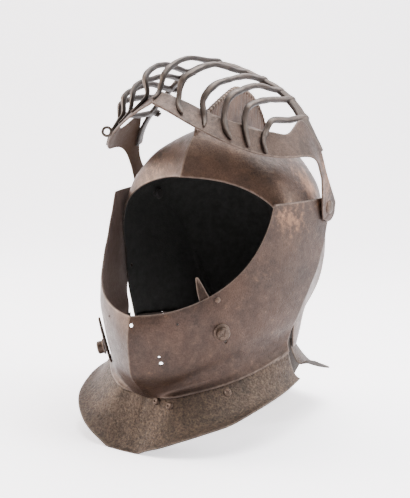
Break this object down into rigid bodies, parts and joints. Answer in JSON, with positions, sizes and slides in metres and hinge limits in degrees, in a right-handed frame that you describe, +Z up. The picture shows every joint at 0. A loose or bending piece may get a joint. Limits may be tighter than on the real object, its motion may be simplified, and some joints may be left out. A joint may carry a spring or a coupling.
{
  "type": "close helmet with a raised barred visor",
  "caption": "Forged iron close helmet that encloses the head: crested skull, bevor hinged at the temples, raised barred visor and flared gorget plates.",
  "frame": {"origin": "middle of the bounding box's footprint, on the surface that the gorget plates rest on", "axes": "+X to the wearer's left, -Y out of the face, +Z up"},
  "size_m": [0.223, 0.2889, 0.3547],
  "materials": {
    "plate_iron": "browned hammered iron plate with rust and rubbed edges",
    "gorget_iron": "pitted olive-brown iron plate",
    "forged_iron": "dark forged iron bar with worn high spots"
  },
  "bodies": {
    "skull": {"skull": "plate_iron", "rear_gorget": "gorget_iron", "pivot_left": "forged_iron", "pivot_right": "forged_iron"},
    "bevor": {"bevor": "plate_iron", "front_gorget": "gorget_iron", "peg_left": "forged_iron", "peg_right": "forged_iron", "catch_strap": "forged_iron", "face_spike": "forged_iron", "spike_rivet": "forged_iron", "gorget_rivet_middle": "forged_iron", "gorget_rivet_left": "forged_iron", "gorget_rivet_side": "forged_iron"},
    "visor": {"visor": "forged_iron"}
  },
  "joints": [
    {"name": "bevor_hinge", "type": "hinge", "parent": "skull", "child": "bevor", "pos_m": [0, 0.0329, 0.217], "axis": [-1, 0, 0], "range_deg": [0, 42]},
    {"name": "visor_hinge", "type": "hinge", "parent": "bevor", "child": "visor", "pos_m": [0, 0.0329, 0.217], "axis": [1, 0, 0], "range_deg": [-6, 50]}
  ]
}
